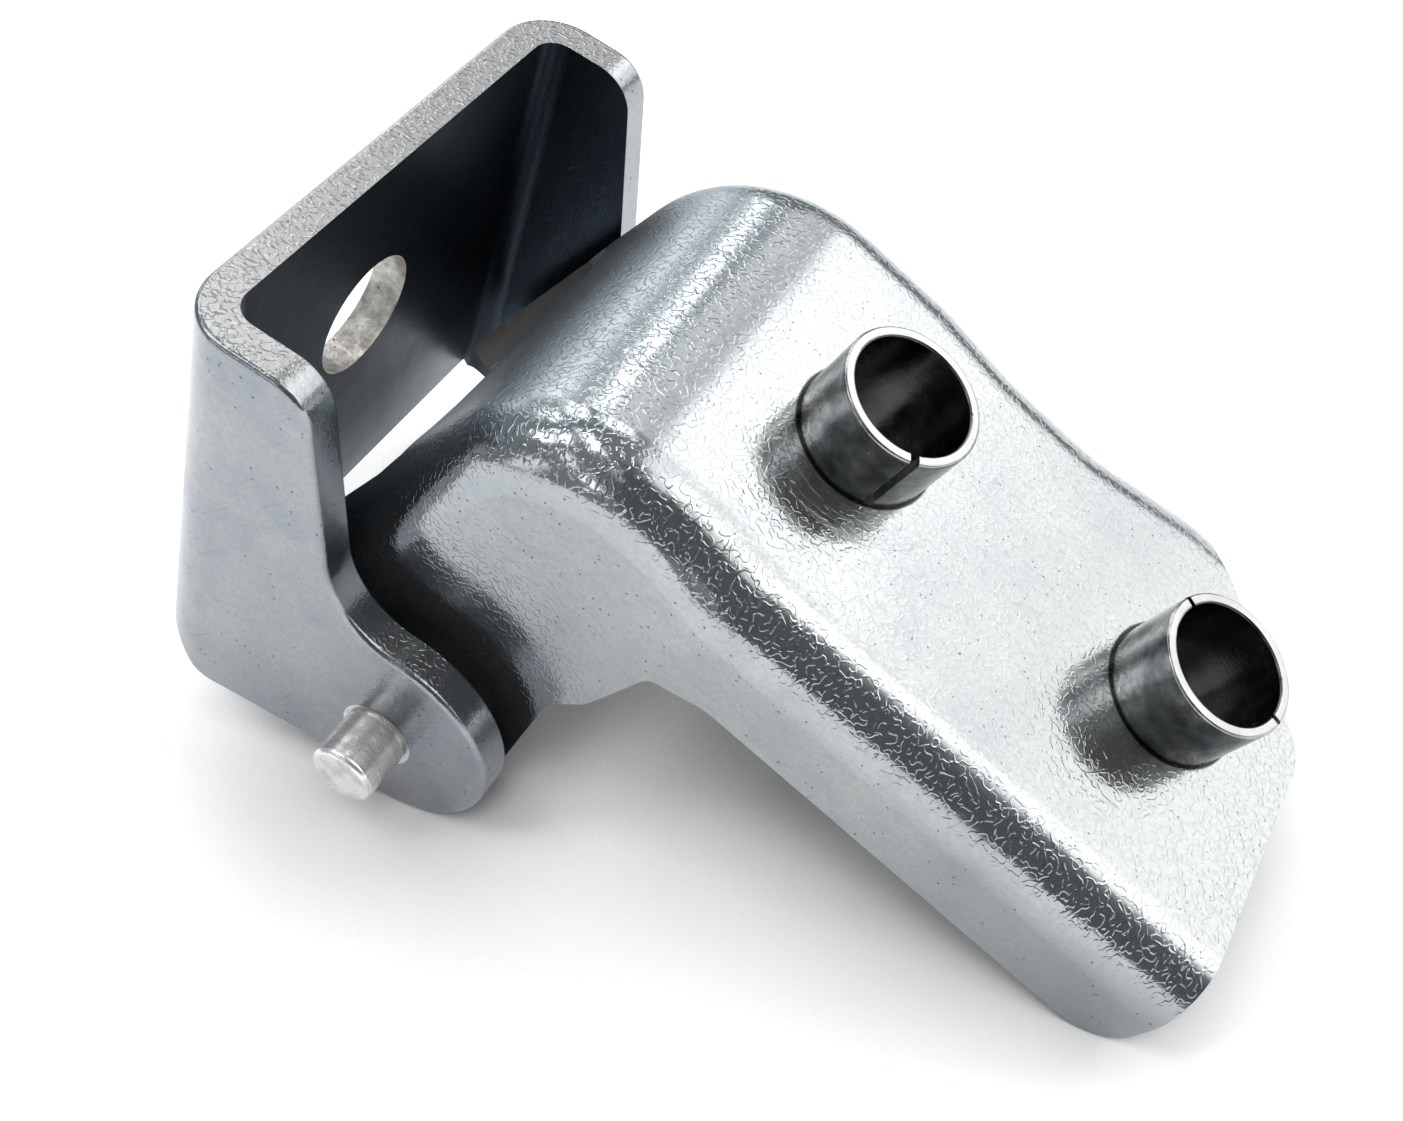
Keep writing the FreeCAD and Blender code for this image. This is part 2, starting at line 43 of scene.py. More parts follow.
# The camera, fitted to the photograph: row frame, metres, and a lens in millimetres.
CAMERA_AT = Vector((0.09600, -0.08251, 0.13782))
CAMERA_RIGHT = Vector((0.87137, 0.48574, -0.06904))
CAMERA_UP = Vector((-0.29318, 0.62835, 0.72057))
CAMERA_LENS = 47.28
SENSOR_WIDTH = 36.0
CLIP_START = 0.005
CLIP_END = 20.0

NO_TURN = (0.0, 0.0, 0.0)
SAME_SCALE = (1.0, 1.0, 1.0)


def add_camera():
    data = bpy.data.cameras.new("camera")
    data.sensor_fit = "HORIZONTAL"
    data.sensor_width = SENSOR_WIDTH
    data.lens = CAMERA_LENS
    data.clip_start = CLIP_START
    data.clip_end = CLIP_END
    camera = bpy.data.objects.new("camera", data)
    scene.collection.objects.link(camera)
    back = CAMERA_RIGHT.cross(CAMERA_UP)
    turn = Matrix((CAMERA_RIGHT, CAMERA_UP, back)).transposed()
    camera.matrix_world = Matrix.Translation(CAMERA_AT) @ turn.to_4x4()
    scene.camera = camera


class Shader:
    """A material under construction, written as short lists of nodes."""

    MM_PER_METRE = 1000.0

    def __init__(self, name):
        self.material = bpy.data.materials.new(name)
        self.material.use_nodes = True
        self.tree = self.material.node_tree
        self.surface = self.tree.nodes["Principled BSDF"]

    def add(self, kind, settings=None, **inputs):
        """A new node. An input is given by its name, or as _0, _1 and so on by its number."""
        node = self.tree.nodes.new(kind)
        for key, value in (settings or {}).items():
            setattr(node, key, value)
        for key, value in inputs.items():
            self.feed(node, key, value)
        return node

    def feed(self, node, key, value):
        by_number = key[0] == "_" and key[1:].isdigit()
        slot = node.inputs[int(key[1:]) if by_number else key.replace("_", " ")]
        if isinstance(value, bpy.types.NodeSocket):
            self.tree.links.new(value, slot)
        else:
            slot.default_value = value

    def finish(self, **inputs):
        for key, value in inputs.items():
            self.feed(self.surface, key, value)
        return self.material

    # Places and directions.
    def vector(self, operation, **inputs):
        node = self.add("ShaderNodeVectorMath", {"operation": operation}, **inputs)
        return node.outputs["Vector"]

    def place(self, slope=0.0):
        """The point on the surface in millimetres, in axes that slope with the bracket or leaf."""
        spot = self.add("ShaderNodeTexCoord").outputs["Object"]
        spot = self.vector("SCALE", Vector=spot, Scale=self.MM_PER_METRE)
        spot = self.vector("SUBTRACT", _0=spot, _1=(0.0, PIN_MIDDLE_Y, 0.0))
        return self.sloped(spot, slope)

    def facing(self, slope=0.0):
        """The surface's normal in the same axes."""
        return self.sloped(self.add("ShaderNodeTexCoord").outputs["Normal"], slope)

    def sloped(self, vector, slope):
        return self.stretch(vector, (0.0, -math.radians(slope), 0.0), SAME_SCALE)

    def stretch(self, at, turn, squeeze):
        """The same points, turned about the three axes and then scaled by the given shares."""
        turned = self.add("ShaderNodeMapping", Vector=at, Rotation=turn).outputs["Vector"]
        return self.vector("MULTIPLY", _0=turned, _1=squeeze)

    def split(self, vector):
        parts = self.add("ShaderNodeSeparateXYZ", Vector=vector).outputs
        return parts["X"], parts["Y"], parts["Z"]

    def from_axis(self, at, centre):
        """Distance from an axis that stands square on the leaf's top face."""
        x, y, _ = self.split(at)
        x = self.sub(x, centre[0])
        y = self.sub(y, centre[1])
        return self.math("SQRT", self.plus(self.times(x, x), self.times(y, y)))

    # Arithmetic.
    def math(self, operation, a, b=0.0):
        return self.add("ShaderNodeMath", {"operation": operation}, _0=a, _1=b).outputs["Value"]

    def plus(self, a, b):
        return self.math("ADD", a, b)

    def sub(self, a, b):
        return self.math("SUBTRACT", a, b)

    def times(self, first, *others):
        for other in others:
            first = self.math("MULTIPLY", first, other)
        return first

    def most(self, a, b):
        return self.math("MAXIMUM", a, b)

    def least(self, a, b):
        return self.math("MINIMUM", a, b)

    def size_of(self, a):
        return self.math("ABSOLUTE", a)

    def ramp(self, value, low, high, start=0.0, end=1.0):
        """start up to low, end from high on, and even between. low may be the larger of the two."""
        node = self.add("ShaderNodeMapRange", _0=value, _1=low, _2=high, _3=start, _4=end)
        return node.outputs["Result"]

    def fade(self, value, low, high):
        """1 up to low, 0 from high on, and a smooth step between."""
        smooth = {"interpolation_type": "SMOOTHSTEP"}
        node = self.add("ShaderNodeMapRange", smooth, _0=value, _1=low, _2=high, _3=1.0, _4=0.0)
        return node.outputs["Result"]

    # Colours.
    def blend(self, share, a, b):
        node = self.add("ShaderNodeMix", {"data_type": "RGBA"}, _0=share, _6=a, _7=b)
        return node.outputs[2]

    def coat(self, colour, paint, share, cover=1.0):
        """The colour with paint over it wherever share is 1. cover is how much the paint hides."""
        if cover != 1.0:
            share = self.times(share, cover)
        return self.blend(share, colour, paint)

    # Patterns. Their size is in millimetres.
    def noise(self, at, size, detail=2.0, rough=0.5):
        inputs = {"Vector": at, "Scale": 1.0 / size, "Detail": detail, "Roughness": rough}
        return self.add("ShaderNodeTexNoise", **inputs).outputs["Fac"]

    def cells(self, at, size):
        return self.add("ShaderNodeTexVoronoi", Vector=at, Scale=1.0 / size).outputs["Distance"]

    def curls(self, at, size, width, full):
        """Short curled ridges, as on deep drawn plated steel: 1 on a ridge, 0 beside it.

        Two families of ridges take turns over the surface, and full is how much they cover."""
        turns = self.noise(at, size * 0.9, 0.0)
        crossed = self.stretch(at, (0.7, 1.1, 0.4), (1.2, 1.2, 1.2))
        straight_share = self.ramp(turns, 0.58 - full, 0.66 - full)
        crossed_share = self.ramp(turns, 0.42 + full, 0.34 + full)
        total = 0.0
        for spot, share in ((at, straight_share), (crossed, crossed_share)):
            off = self.size_of(self.sub(self.noise(spot, size, 0.0), 0.5))
            total = self.most(total, self.times(self.fade(off, 0.0, width), share))
        return total

    def specks(self, at, size, low):
        """Small pits in loose groups: 1 in a pit."""
        dot = self.ramp(self.cells(at, size), 0.07, 0.16, 1.0, 0.0)
        group = self.ramp(self.noise(at, size * 4.5, 3.0), low, low + 0.06)
        return self.times(dot, group)

    def drags(self, at, turn, low):
        """Fine straight marks along the first axis once turned, in patches."""
        marks = self.noise(self.stretch(at, turn, (0.09, 3.6, 3.6)), 1.0, 1.0, 0.7)
        patch = self.ramp(self.noise(at, 8.0, 2.0), low, low + 0.14)
        return self.times(self.ramp(marks, 0.60, 0.70), patch)

    def relief(self, *layers):
        """One bump from several patterns, each with its height in millimetres."""
        total = 0.0
        for pattern, height in layers:
            total = self.plus(total, self.times(pattern, height))
        bump = self.add("ShaderNodeBump", Height=total, Strength=1.0, Distance=0.001)
        return bump.outputs["Normal"]


def rgb(red, green, blue):
    return (red, green, blue, 1)


# How a clouded noise is cut into two tones, and how far a normal leans where a face is flat.
CLOUD_CUT = (0.35, 0.68)
CLOUD_SOFT = (0.3, 0.7)
GRAIN_CUT = (0.38, 0.62)
PATCH_CUT = (0.50, 0.64)
FLAT_SIDE = (0.80, 0.97)

PIT_DARK = rgb(0.07, 0.072, 0.075)

# The leaf: where its neck ends and its arm begins along its slope, and its colours, some of which
# are painted shade and painted light.
NECK = (6.0, -6.0)
ARM = (38.0, 60.0)
LEAF_PALE = rgb(0.41, 0.425, 0.425)
LEAF_DULL = rgb(0.35, 0.37, 0.375)
LEAF_BACK_PAINTED_SHADE = rgb(0.24, 0.31, 0.355)
ARM_WALL_PAINTED_SHADE = rgb(0.27, 0.28, 0.285)
ARM_TOP_PAINTED_LIGHT = rgb(0.445, 0.46, 0.46)
LEAF_GRAIN = rgb(0.25, 0.27, 0.285)
LEAF_BLUE = rgb(0.25, 0.285, 0.32)
LEAF_CURL = rgb(0.20, 0.20, 0.19)
LEAF_MARK = rgb(0.22, 0.23, 0.23)
SEAT_BLACK = rgb(0.03, 0.03, 0.03)
LEAF_INSIDE_PAINTED_SHADE = rgb(0.085, 0.08, 0.075)


def leaf_zinc():
    """Bright zinc on drawn steel: curled grain, drag marks, pits, and rings below a sleeve. Painted
    shade darkens its back, neck, arm walls and inside, and painted light brightens the arm's top.
    """
    m = Shader("leaf_zinc")
    at = m.place(LEAF_SLOPE)
    x, y, _ = m.split(at)
    normal_x, normal_y, normal_z = m.split(m.facing(LEAF_SLOPE))

    # Where things are: walls, the back and the sheltered neck, which get painted shade, the arm,
    # whose walls get painted shade and whose top gets painted light, the underside and inner walls,
    # which get painted shade, and the sleeves' seats.
    wall = m.ramp(m.size_of(normal_y), *FLAT_SIDE)
    # Back-facing faces and the neck, where painted shade goes.
    back_painted_shade = m.most(m.ramp(normal_x, -0.20, -0.80), m.ramp(x, *NECK, 0.0, 0.3))
    arm = m.ramp(x, *ARM)
    inner_wall = m.ramp(m.times(y, normal_y), -8.0, -14.0)
    inside = m.most(inner_wall, m.ramp(normal_z, -0.5, -0.9))
    away = m.from_axis(at, CREST_SLEEVE)
    seat = m.least(away, m.from_axis(at, END_SLEEVE))
    seat = m.ramp(seat, SLEEVE_OUTSIDE + 0.22, SLEEVE_OUTSIDE + 0.42, 1.0, 0.0)

    # Patterns.
    cloud = m.noise(at, 12.0, 3.0, 0.6)
    grain = m.ramp(m.noise(at, 0.55, 2.0, 0.7), *GRAIN_CUT)
    patches = m.ramp(m.noise(at, 7.0, 3.0, 0.6), *PATCH_CUT)
    peel = m.noise(at, 2.6, 1.0)
    fine = m.noise(at, 0.30, 1.0, 0.6)
    curls = m.curls(at, 0.95, 0.075, 0.13)
    curls = m.times(curls, m.ramp(wall, 0.0, 1.0, 1.0, 0.40))
    pits = m.specks(m.stretch(at, (0.2, 0.4, 0.1), (1.0, 1.5, 1.0)), 1.0, 0.46)
    drags = m.times(m.drags(at, NO_TURN, 0.46), m.ramp(wall, 0.0, 1.0, 0.0, 1.0))
    wander = m.times(m.noise(at, 9.0, 0.0), 3.0)
    round_sleeve = m.add("ShaderNodeCombineXYZ", X=m.times(away, 2.2), Y=wander).outputs[0]
    below = m.times(m.ramp(y, -3.0, -8.0), m.ramp(away, 15.0, 10.0))
    on_top = m.times(below, m.ramp(normal_z, 0.8, 0.95))
    rings = m.times(m.ramp(m.noise(round_sleeve, 1.0, 1.0), 0.54, 0.64), on_top)
    marks = m.most(m.times(drags, 0.45), rings)

    colour = m.blend(m.ramp(cloud, *CLOUD_CUT), LEAF_PALE, LEAF_DULL)
    # Painted shade: a darker blue-grey on the back-facing faces and the neck.
    colour = m.coat(colour, LEAF_BACK_PAINTED_SHADE, back_painted_shade, 0.6)
    # Painted shade darkens the arm's walls, and painted light brightens the arm's top.
    colour = m.coat(colour, ARM_WALL_PAINTED_SHADE, m.times(arm, wall), 0.5)
    colour = m.coat(colour, ARM_TOP_PAINTED_LIGHT, m.times(arm, m.ramp(normal_z, 0.93, 0.99)))
    colour = m.coat(colour, LEAF_GRAIN, grain, 0.26)
    colour = m.coat(colour, LEAF_BLUE, m.times(patches, m.times(wall, 0.34)))
    colour = m.coat(colour, LEAF_CURL, curls, 0.20)
    colour = m.coat(colour, LEAF_MARK, marks, 0.5)
    colour = m.coat(colour, PIT_DARK, pits, 0.85)
    colour = m.coat(colour, SEAT_BLACK, seat)
    # Painted shade: the inner walls and the underside made nearly black.
    colour = m.coat(colour, LEAF_INSIDE_PAINTED_SHADE, inside)

    rough = m.ramp(cloud, *CLOUD_SOFT, 0.10, 0.16)
    rough = m.plus(rough, m.times(m.most(pits, marks), 0.25))
    back = m.ramp(normal_x, -0.50, -0.85, 0.0, 0.26)
    rough = m.plus(rough, m.most(back, m.times(inside, 0.25)))
    curled = m.times(curls, m.ramp(normal_z, 0.90, 0.99, 1.8, 0.75))
    normal = m.relief((peel, 0.022), (curled, 0.013), (fine, 0.006))
    return m.finish(Base_Color=colour, Metallic=0.94, Roughness=rough, Normal=normal)


# The bracket: the corners of a box round its bolt hole, as ramps, and its colours.
HOLE_SIDE = (12.0, 11.0)
HOLE_FRONT = (-23.0, -24.0)
HOLE_LOW = (12.0, 13.0)
HOLE_HIGH = (32.0, 31.0)
BRACKET_PALE = rgb(0.35, 0.36, 0.365)
BRACKET_DULL = rgb(0.28, 0.305, 0.33)
SHEARED_EDGE = rgb(0.30, 0.305, 0.30)
BRACKET_GRAIN = rgb(0.19, 0.205, 0.22)
BRACKET_BLUE = rgb(0.21, 0.25, 0.30)
BRACKET_CURL = rgb(0.25, 0.25, 0.25)
BETWEEN_CHEEKS_PAINTED_SHADE = rgb(0.034, 0.054, 0.074)
HOLE_DULL = rgb(0.30, 0.28, 0.25)
HOLE_BRIGHT = rgb(0.62, 0.61, 0.59)
BRACKET_MARK = rgb(0.20, 0.21, 0.22)


def bracket_zinc():
    """The same plating on thicker plate, with painted shade and reflection between the cheeks, and
    grainy sheared edges.
    """
    m = Shader("bracket_zinc")
    at = m.place(BRACKET_LEAN)
    x, y, z = m.split(at)
    normal_x, normal_y, normal_z = m.split(m.facing(BRACKET_LEAN))
    side = m.size_of(y)

    # Where things are: the inner faces, the hole's wall, the sheared edges and the flat cheeks.
    between = m.ramp(side, INSIDE_CHEEKS, INSIDE_CHEEKS + 0.15, 1.0, 0.0)
    web_side = m.ramp(normal_x, 0.10, 0.45)
    cheek_side = m.times(m.ramp(m.size_of(normal_y), 0.3, 0.6), m.ramp(side, 19.0, 21.0))
    inner = m.times(between, m.most(web_side, cheek_side))
    # Painted shade and reflection on the inner faces between the cheeks, darker towards the top.
    painted_shade_inside = m.times(inner, m.most(m.ramp(z, -12.0, 4.0), m.ramp(side, 21.0, 24.0)))
    hole = m.times(m.ramp(side, *HOLE_SIDE), m.ramp(m.size_of(normal_x), 0.3, 0.1))
    hole = m.times(hole, m.ramp(x, *HOLE_FRONT))
    hole = m.times(hole, m.times(m.ramp(z, *HOLE_LOW), m.ramp(z, *HOLE_HIGH)))
    sheared = m.ramp(normal_z, 0.93, 0.985)
    flat = m.ramp(m.size_of(normal_y), *FLAT_SIDE)

    # Patterns.
    cloud = m.noise(at, 13.0, 3.0, 0.6)
    grain = m.ramp(m.noise(at, 0.60, 2.0, 0.7), *GRAIN_CUT)
    patches = m.ramp(m.noise(at, 8.0, 3.0, 0.6), *PATCH_CUT)
    peel = m.noise(at, 2.8, 1.0)
    fine = m.noise(at, 0.28, 1.0, 0.6)
    mottle = m.noise(at, 1.6, 4.0, 0.65)
    curls = m.curls(at, 0.95, 0.080, 0.16)
    curls = m.times(curls, m.ramp(sheared, 0.0, 1.0, 0.30, 1.0))
    pits = m.specks(at, 1.2, 0.50)
    marks = m.times(m.drags(at, (0.0, 0.9, 0.0), 0.50), flat)
    hole_colour = m.blend(m.ramp(mottle, 0.35, 0.65), HOLE_DULL, HOLE_BRIGHT)

    colour = m.blend(m.ramp(cloud, *CLOUD_CUT), BRACKET_PALE, BRACKET_DULL)
    colour = m.coat(colour, SHEARED_EDGE, sheared)
    colour = m.coat(colour, BRACKET_GRAIN, grain, 0.28)
    colour = m.coat(colour, BRACKET_BLUE, m.times(patches, m.times(flat, 0.40)))
    colour = m.coat(colour, BRACKET_CURL, curls, 0.20)
    # Painted shade: a dark blue-grey between the cheeks.
    colour = m.coat(colour, BETWEEN_CHEEKS_PAINTED_SHADE, painted_shade_inside, 0.94)
    colour = m.coat(colour, hole_colour, hole)
    colour = m.coat(colour, BRACKET_MARK, marks, 0.35)
    colour = m.coat(colour, PIT_DARK, pits, 0.8)

    rough = m.ramp(cloud, *CLOUD_SOFT, 0.16, 0.26)
    rough = m.plus(rough, m.times(m.most(pits, marks), 0.2))
    rough = m.plus(rough, m.plus(m.times(inner, 0.12), m.times(hole, 0.2)))
    mottle = m.times(mottle, hole)
    normal = m.relief((peel, 0.045), (curls, 0.022), (fine, 0.005), (mottle, 0.06))
    return m.finish(Base_Color=colour, Metallic=0.95, Roughness=rough, Normal=normal)


# The sleeves' colours.
SLEEVE_BROWN = rgb(0.14, 0.15, 0.153)
SLEEVE_BRIGHT = rgb(0.48, 0.49, 0.49)
SLEEVE_STRAW = rgb(0.26, 0.21, 0.14)
BORE_PAINTED_SHADE = rgb(0.035, 0.037, 0.04)
SLEEVE_PIT = rgb(0.03, 0.03, 0.03)
RIM_DULL = rgb(0.38, 0.38, 0.375)
RIM_BRIGHT = rgb(0.48, 0.48, 0.475)


def sleeve_steel():
    """Dark rolled sleeve: bright ground rim, painted shade in the bore, brown and straw blotches
    outside.
    """
    m = Shader("sleeve_steel")
    at = m.place(LEAF_SLOPE)
    normal_z = m.split(m.facing(LEAF_SLOPE))[2]
    rim = m.ramp(normal_z, 0.88, 0.97)
    away = m.least(m.from_axis(at, CREST_SLEEVE), m.from_axis(at, END_SLEEVE))
    bore_shade_mask = m.ramp(away, SLEEVE_BORE + 0.1, SLEEVE_BORE + 0.3, 1.0, 0.0)

    cloud = m.noise(at, 3.4, 4.0, 0.6)
    blotches = m.noise(m.stretch(at, (0.3, 0.2, 0.1), (1, 1, 0.5)), 2.2, 3.0, 0.6)
    fine = m.noise(at, 0.22, 2.0, 0.6)
    lines = m.noise(m.stretch(at, NO_TURN, (0.15, 0.15, 5.0)), 1.0, 2.0)
    rim_colour = m.blend(m.ramp(cloud, 0.35, 0.65), RIM_DULL, RIM_BRIGHT)

    colour = m.blend(m.ramp(cloud, 0.32, 0.68), SLEEVE_BROWN, SLEEVE_BRIGHT)
    colour = m.coat(colour, SLEEVE_STRAW, m.ramp(blotches, 0.54, 0.66), 0.5)
    # Painted shade: the bore made nearly black.
    colour = m.coat(colour, BORE_PAINTED_SHADE, bore_shade_mask, 0.85)
    colour = m.coat(colour, SLEEVE_PIT, m.specks(at, 0.8, 0.46), 0.8)
    colour = m.coat(colour, rim_colour, rim)
    rough = m.plus(m.ramp(cloud, *CLOUD_SOFT, 0.16, 0.30), m.times(rim, 0.05))
    normal = m.relief((cloud, 0.05), (lines, 0.010), (fine, 0.008))
    return m.finish(Base_Color=colour, Metallic=1.0, Roughness=rough, Normal=normal)


# The pin's colours.
PIN_DULL = rgb(0.66, 0.65, 0.64)
PIN_BRIGHT = rgb(0.88, 0.87, 0.86)
PIN_STAIN = rgb(0.30, 0.285, 0.27)


def pin_steel():
    """Turned steel: fine rings round the pin, and mottled stains."""
    m = Shader("pin_steel")
    at = m.place()
    rings = m.noise(m.stretch(at, NO_TURN, (0.05, 5.0, 0.05)), 1.0, 3.0, 0.6)
    cloud = m.noise(at, 2.2, 4.0, 0.6)
    pits = m.specks(at, 0.8, 0.48)

    colour = m.blend(m.ramp(rings, 0.35, 0.65), PIN_DULL, PIN_BRIGHT)
    colour = m.coat(colour, PIN_STAIN, m.ramp(cloud, 0.45, 0.65), 0.45)
    colour = m.coat(colour, PIT_DARK, pits, 0.8)
    rough = m.plus(m.ramp(cloud, *CLOUD_SOFT, 0.20, 0.34), m.times(pits, 0.2))
    normal = m.relief((rings, 0.012), (cloud, 0.05))
    return m.finish(Base_Color=colour, Metallic=0.80, Roughness=rough, Normal=normal)


# The bushes' colours, made dark as painted shade.
BUSH_SHADED_BROWN = rgb(0.07, 0.065, 0.06)
BUSH_SHADED_BLACK = rgb(0.035, 0.038, 0.045)
BUSH_PORE = rgb(0.02, 0.018, 0.015)


def bush_bronze():
    """Sintered bronze full of small pores, its colour made dark all over as painted shade."""
    m = Shader("bush_bronze")
    at = m.place()
    pores = m.ramp(m.noise(at, 0.35, 2.0, 0.6), 0.55, 0.70)
    cloud = m.noise(at, 3.0, 3.0)
    # Painted shade: the whole bush is dark brown to black.
    colour = m.blend(m.ramp(cloud, *CLOUD_SOFT), BUSH_SHADED_BROWN, BUSH_SHADED_BLACK)
    colour = m.coat(colour, BUSH_PORE, pores)
    rough = m.ramp(cloud, *CLOUD_SOFT, 0.35, 0.5)
    normal = m.relief((pores, -0.03))
    return m.finish(Base_Color=colour, Metallic=1.0, Roughness=rough, Normal=normal)


# Soft boxes round the hinge, in degrees. Each is given by its turn about the pin's direction
# from overhead towards +X, its height towards +Y, half its width and height, its soft edge, its
# level and its slant, which is the turn it gains with each degree of height.
SOFT_BOXES = [
    (18, 50, 26, 13, 10, 0.85, 0.0),
    (50, 29, 22, 26, 14, 1.80, 0.0),
    (-50, 44, 50, 5, 10, 0.30, 0.0),
    (41, 0, 4, 16, 6, 1.90, 0.5),
    (62, 8, 5, 12, 6, 0.50, 0.0),
    (-29, 44, 3, 7, 5, 4.4, -1.75),
    (-57, 42, 2, 7, 5, 3.6, -2.1),
    (-70, 38, 2, 2, 4, 2.2, 0.0),
    (-57, 34, 3, 2, 3, 3.6, 0.0),
    (-2, 26, 7, 3, 4, 4.4, -0.6),
    (-26, 24, 4, 6, 3, 5.5, -0.6),
    (-36, 9, 3, 6, 3, 5.5, -0.4),
    (-63, 20, 3, 3, 3, 4.2, 0.0),
    (-8, -12, 3, 9, 3, 5.5, -0.5),
    (-24, -19, 3, 6, 3, 5.5, 0.0),
    (-37, -24, 4, 4, 3, 4.8, 0.0),
    (10, -36, 2, 6, 4, 1.4, -0.6),
    (-27, -45, 2, 7, 4, 2.0, 0.0),
    (-20, -66, 7, 4, 5, 3.0, 0.0),
    (-70, -52, 14, 3, 5, 1.4, 0.0),
]
DARK_SIDE = (66, -50, 46, 22, 26, 0.66, 0.0)
OPEN_ROOM = 0.36
BOX_WHITE = rgb(1.0, 1.0, 1.0)
ROOM_COOL = rgb(0.86, 0.94, 1.0)


# A ray works out only the boxes that can reach its own part of the sky, which keeps renders quick.
SKY_CUTS = 4
WHOLE_SKY = ((-180.0, 180.0), (-90.0, 90.0))


def reach(spot):
    """The span of turn and the span of height outside which a soft box is dark."""
    at_turn, at_height, half_turn, half_height, soft, _, slant = spot
    up = half_height + soft
    across = half_turn + soft + abs(slant) * up
    return (at_turn - across, at_turn + across), (at_height - up, at_height + up)


def within(spots, area):
    """The soft boxes that reach into an area of the sky."""
    return [spot for spot in spots if all(
        low < area_high and high > area_low
        for (low, high), (area_low, area_high) in zip(reach(spot), area))]


def halves(area, axis, place):
    """An area of the sky, cut in two across its turn (axis 0) or its height (axis 1)."""
    low, high = list(area), list(area)
    low[axis] = (area[axis][0], place)
    high[axis] = (place, area[axis][1])
    return low, high


def best_cut(spots, area):
    """The cut that leaves the fewest soft boxes in the fuller half, or None if no cut helps."""
    best, cut = (len(spots), 2 * len(spots)), None
    for axis in (0, 1):
        for place in sorted({edge for spot in spots for edge in reach(spot)[axis]}):
            if not area[axis][0] < place < area[axis][1]:
                continue
            counts = [len(within(spots, half)) for half in halves(area, axis, place)]
            if (max(counts), sum(counts)) < best:
                best, cut = (max(counts), sum(counts)), (axis, place)
    return cut


class Sky(Shader):
    """The world's nodes: light from the soft boxes, and plain white for the camera."""

    def __init__(self):
        world = bpy.data.worlds.new("studio")
        world.use_nodes = True
        scene.world = world
        self.tree = world.node_tree
        self.tree.nodes.remove(self.tree.nodes["Background"])
        self.surface = self.tree.nodes["World Output"]
        x, y, z = self.split(self.add("ShaderNodeTexCoord").outputs["Generated"])
        degrees = 180 / math.pi
        turn = self.times(self.math("ARCTAN2", x, z), degrees)
        height = self.times(self.math("ARCSINE", y), degrees)
        self.way = (turn, height)
        self.seen = self.add("ShaderNodeLightPath").outputs["Is Camera Ray"]

    def panel(self, spot):
        """The level of one soft box along a ray, or the share that a dark one takes away."""
        at_turn, at_height, half_turn, half_height, soft, level, slant = spot
        turn, height = self.way
        up = self.sub(height, at_height)
        across = self.sub(self.sub(turn, at_turn), self.times(up, slant))
        share = level
        for off, half in ((across, half_turn), (up, half_height)):
            share = self.times(self.fade(self.size_of(off), half, half + soft), share)
        return share

    def light(self, spots, darkened):
        boxes = 0.0
        for spot in spots:
            boxes = self.plus(boxes, self.panel(spot))
        light = self.plus(boxes, OPEN_ROOM)
        for spot in darkened:
            light = self.times(light, self.sub(1.0, self.panel(spot)))
        strength = self.plus(self.times(light, self.sub(1.0, self.seen)), self.seen)
        white_share = self.ramp(self.most(boxes, self.seen), 0.0, 0.8)
        colour = self.blend(white_share, ROOM_COOL, BOX_WHITE)
        node = self.add("ShaderNodeBackground", Color=colour, Strength=strength)
        return node.outputs["Background"]

    def part(self, area, cuts):
        """The light of one area of the sky, which is cut in two again and again."""
        spots = within(SOFT_BOXES, area)
        cut = best_cut(spots, area) if cuts else None
        if cut is None:
            return self.light(spots, within([DARK_SIDE], area))
        axis, place = cut
        low, high = (self.part(half, cuts - 1) for half in halves(area, axis, place))
        side = self.math("GREATER_THAN", self.way[axis], place)
        return self.add("ShaderNodeMixShader", _0=side, _1=low, _2=high).outputs["Shader"]


def add_sky():
    m = Sky()
    m.feed(m.surface, "Surface", m.part(WHOLE_SKY, SKY_CUTS))


# The key lamp, in metres and watts.
KEY_SIZE = 0.35
KEY_POWER = 3.2
KEY_AIM = Vector((0.02, 0.03, 0.0))
KEY_WAY = Vector((0.34, -0.50, 1.00))
KEY_AWAY = 0.9


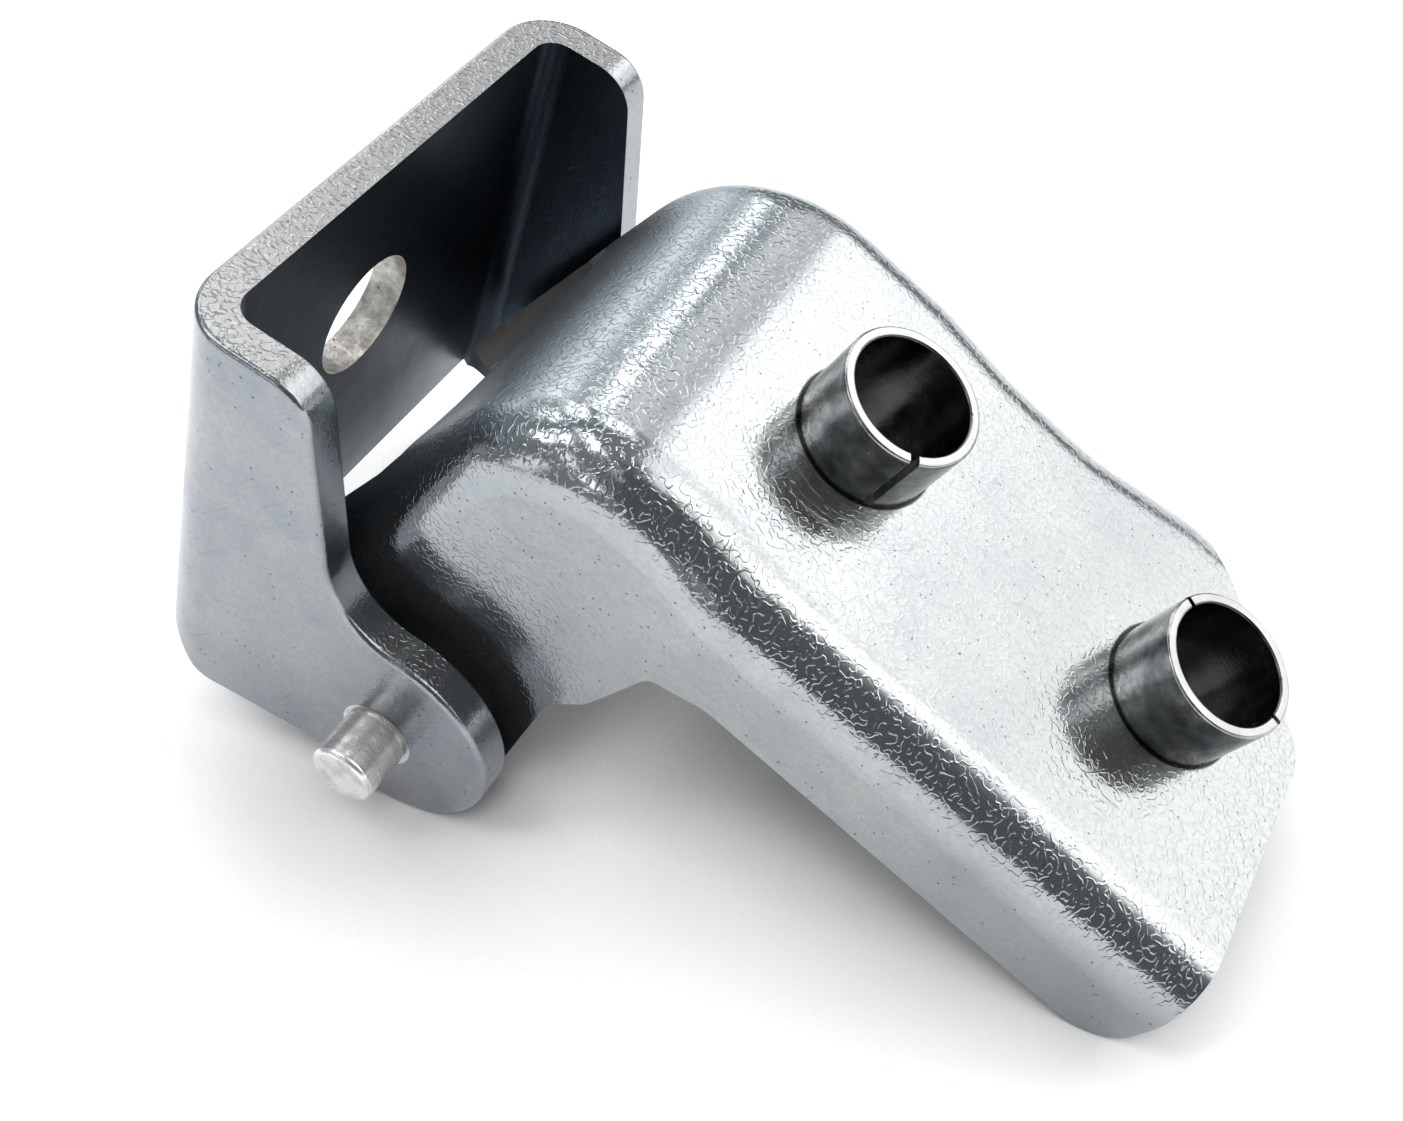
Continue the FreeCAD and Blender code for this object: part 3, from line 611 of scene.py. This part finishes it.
def add_key():
    """A broad lamp above and in front, which throws the soft shadow back under the hinge."""
    data = bpy.data.lights.new("key", "AREA")
    data.shape = "SQUARE"
    data.size = KEY_SIZE
    data.energy = KEY_POWER
    key = bpy.data.objects.new("key", data)
    scene.collection.objects.link(key)
    key.location = KEY_AIM + KEY_WAY.normalized() * KEY_AWAY
    key.rotation_euler = (KEY_AIM - key.location).to_track_quat("-Z", "Y").to_euler()
    key.visible_glossy = False


# The floor: its reach in metres, and how it is lifted to white away from the hinge, which leaves a
# painted contact shadow near it.
FLOOR_REACH = 3.0
FLOOR_COLOUR = rgb(0.62, 0.62, 0.625)
FLOOR_LIFT = 0.54
SHADOW_REACH = 0.045
SHADOW_SHARPNESS = 5.5


def add_floor():
    """A pale floor that keeps its shadows, and fades to white where nothing stands over it, so that
    a painted contact shadow lies round the hinge.
    """
    mesh = bpy.data.meshes.new("floor")
    corners = [
        (x * FLOOR_REACH, y * FLOOR_REACH, FLOOR_Z)
        for x, y in ((-1, -1), (1, -1), (1, 1), (-1, 1))
    ]
    mesh.from_pydata(corners, [], [(0, 1, 2, 3)])
    floor = bpy.data.objects.new("floor", mesh)
    scene.collection.objects.link(floor)

    m = Shader("floor_white")
    path = m.add("ShaderNodeLightPath").outputs
    seen = m.plus(m.plus(path["Is Camera Ray"], path["Is Glossy Ray"]), path["Is Transmission Ray"])
    # Ambient occlusion cuts the white glow near the hinge: a painted contact shadow.
    ao_painted_shadow = m.add("ShaderNodeAmbientOcclusion", {"samples": 4}, Distance=SHADOW_REACH)
    lift = m.math("POWER", ao_painted_shadow.outputs["AO"], SHADOW_SHARPNESS)
    lift = m.times(lift, FLOOR_LIFT)
    m.finish(
        Base_Color=FLOOR_COLOUR,
        Roughness=0.75,
        Emission_Color=BOX_WHITE,
        Emission_Strength=m.times(m.least(seen, 1.0), lift),
    )
    mesh.materials.append(m.material)


add_camera()
add_floor()
add_sky()
add_key()

finishes = {
    "bracket": bracket_zinc(),
    "hinge_pin": pin_steel(),
    "leaf": leaf_zinc(),
    "bush_near": bush_bronze(),
    "sleeve_crest": sleeve_steel(),
}
finishes["bush_far"] = finishes["bush_near"]
finishes["sleeve_end"] = finishes["sleeve_crest"]
for name, finish in finishes.items():
    nodes[name].data.materials.clear()
    nodes[name].data.materials.append(finish)
